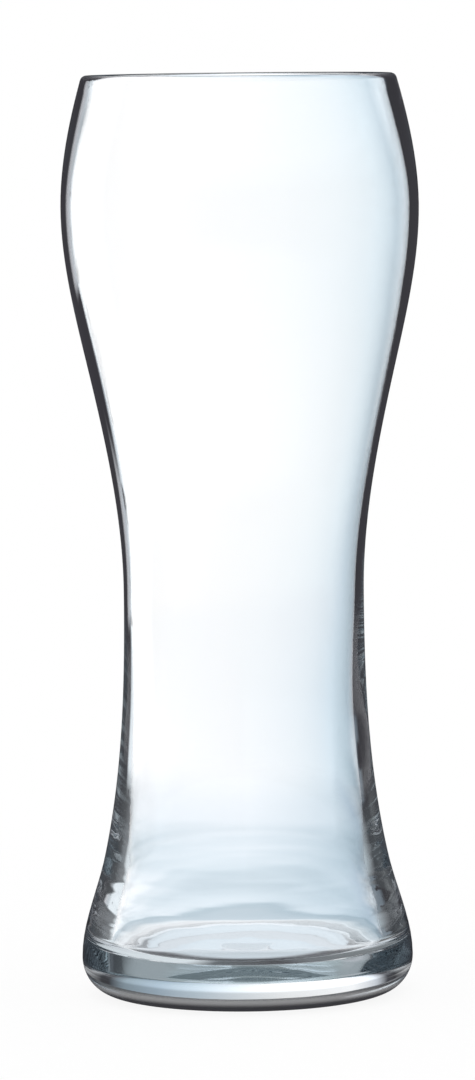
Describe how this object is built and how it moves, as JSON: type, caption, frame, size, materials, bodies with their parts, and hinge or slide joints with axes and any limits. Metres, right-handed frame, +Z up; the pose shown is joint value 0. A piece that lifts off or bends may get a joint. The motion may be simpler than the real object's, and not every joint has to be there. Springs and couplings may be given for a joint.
{
  "type": "beer glass",
  "caption": "Clear waisted beer glass: thick solid foot, flared skirt, narrow waist, rounded bowl and an in-curved mouth with a half-round lip.",
  "frame": {"origin": "on the table at the centre of the standing ring under the foot", "axes": "+Z up along the glass's axis of revolution, from the foot to the mouth; X and Y are level"},
  "size_m": [0.0784, 0.0784, 0.202],
  "materials": {
    "wall_glass": "clear, fire-polished, very faint cool tint",
    "thick_glass": "clear, thick, fire-polished, faint cool grey-blue tint"
  },
  "bodies": {
    "root": {"foot": "thick_glass", "skirt": "thick_glass", "waist": "wall_glass", "bowl": "wall_glass", "rim": "wall_glass"}
  },
  "joints": []
}
